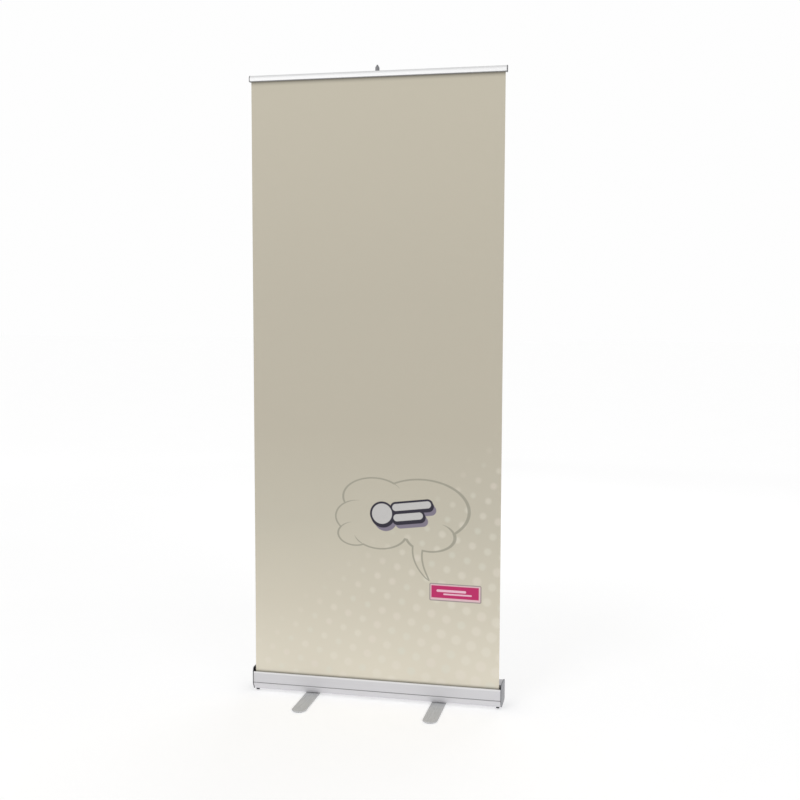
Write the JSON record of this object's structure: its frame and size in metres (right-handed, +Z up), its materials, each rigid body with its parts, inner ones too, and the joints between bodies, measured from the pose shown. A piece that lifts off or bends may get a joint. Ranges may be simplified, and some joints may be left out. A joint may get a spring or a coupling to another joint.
{
  "type": "roll-up banner stand",
  "caption": "Roll-up banner stand: slim cassette with a spring roller, tall printed banner, clamp rail, jointed pole and swing-out feet.",
  "frame": {"origin": "on the floor under the middle of the cassette", "axes": "+X along the cassette to the viewer's right when facing the print, +Y from the print to the back, +Z up"},
  "size_m": [0.8692, 0.4276, 2.1255],
  "materials": {
    "anodised_aluminium": "satin silver anodised, fine extrusion lines",
    "tube_aluminium": "drawn tube, natural",
    "cap_plastic": "silver-grey moulding, fine grain",
    "foot_metal": "ridged bar, matt grey",
    "rubber": "black, matt",
    "zinc_steel": "bright zinc",
    "banner_print": "matt printed banner sheet, beige gradient with pale dots",
    "leader_film": "plain grey film",
    "cord": "braided cover",
    "dark_plastic": "moulded dark plastic"
  },
  "bodies": {
    "base": {"cassette_shell": "anodised_aluminium", "end_cap_left": "cap_plastic", "end_cap_right": "cap_plastic", "cap_screw_left_1": "zinc_steel", "cap_screw_left_2": "zinc_steel", "cap_screw_right_1": "zinc_steel", "cap_screw_right_2": "zinc_steel", "bumper_left": "rubber", "bumper_right": "rubber", "pole_socket": "dark_plastic", "spring_arbor": "zinc_steel", "roller_axle": "zinc_steel", "torsion_spring": "zinc_steel", "banner": "banner_print", "leader": "leader_film", "pivot_bolt_left": "zinc_steel", "pivot_bolt_right": "zinc_steel", "pivot_washer_left": "dark_plastic", "pivot_washer_right": "dark_plastic", "pivot_nut_left": "zinc_steel", "pivot_nut_right": "zinc_steel"},
    "roller": {"roller_tube": "tube_aluminium", "leader_wrap": "leader_film", "roller_plug_left": "dark_plastic", "roller_plug_right": "dark_plastic", "spring_anchor": "dark_plastic"},
    "foot_left": {"foot_bar_left": "foot_metal", "foot_pad_left_front": "rubber", "foot_pad_left_rear": "rubber"},
    "foot_right": {"foot_bar_right": "foot_metal", "foot_pad_right_front": "rubber", "foot_pad_right_rear": "rubber"},
    "rail": {"rail_profile": "anodised_aluminium", "rail_cap_left": "cap_plastic", "rail_cap_right": "cap_plastic"},
    "jaw": {"rail_jaw": "anodised_aluminium"},
    "pole_lower": {"pole_tube_lower": "tube_aluminium", "pole_ferrule_lower": "zinc_steel", "pole_foot_plug": "dark_plastic", "bungee_cord": "cord"},
    "pole_middle": {"pole_tube_middle": "tube_aluminium", "pole_ferrule_middle": "zinc_steel"},
    "pole_upper": {"pole_tube_upper": "tube_aluminium", "pole_head": "dark_plastic"}
  },
  "joints": [
    {"name": "banner_pull", "type": "slide", "parent": "base", "child": "rail", "axis": [0, 0, 1], "range_m": [-1.992, 0], "deforming": ["banner"]},
    {"name": "rail_jaw_hinge", "type": "hinge", "parent": "rail", "child": "jaw", "pos_m": [0, -0.028, 2.088], "axis": [1, 0, 0], "range_deg": [0, 40]},
    {"name": "roller_spin", "type": "hinge", "parent": "base", "child": "roller", "pos_m": [0, -0.0044, 0.044], "axis": [1, 0, 0], "continuous": true},
    {"name": "foot_left_swing", "type": "hinge", "parent": "base", "child": "foot_left", "pos_m": [-0.2208, 0, 0.004], "axis": [0, 0, 1], "range_deg": [0, 90]},
    {"name": "foot_right_swing", "type": "hinge", "parent": "base", "child": "foot_right", "pos_m": [0.2208, 0, 0.004], "axis": [0, 0, -1], "range_deg": [0, 90]},
    {"name": "pole_lift_out", "type": "slide", "parent": "base", "child": "pole_lower", "axis": [0, -0.0176, 0.9998], "range_m": [0, 0.075]},
    {"name": "pole_pull_lower", "type": "slide", "parent": "pole_lower", "child": "pole_middle", "axis": [0, -0.0176, 0.9998], "range_m": [0, 0.048]},
    {"name": "pole_pull_upper", "type": "slide", "parent": "pole_middle", "child": "pole_upper", "axis": [0, -0.0176, 0.9998], "range_m": [0, 0.048]}
  ],
  "couplings": [
    {"joint": "roller_spin", "follows": "banner_pull", "rad_per_m": 63.7}
  ]
}
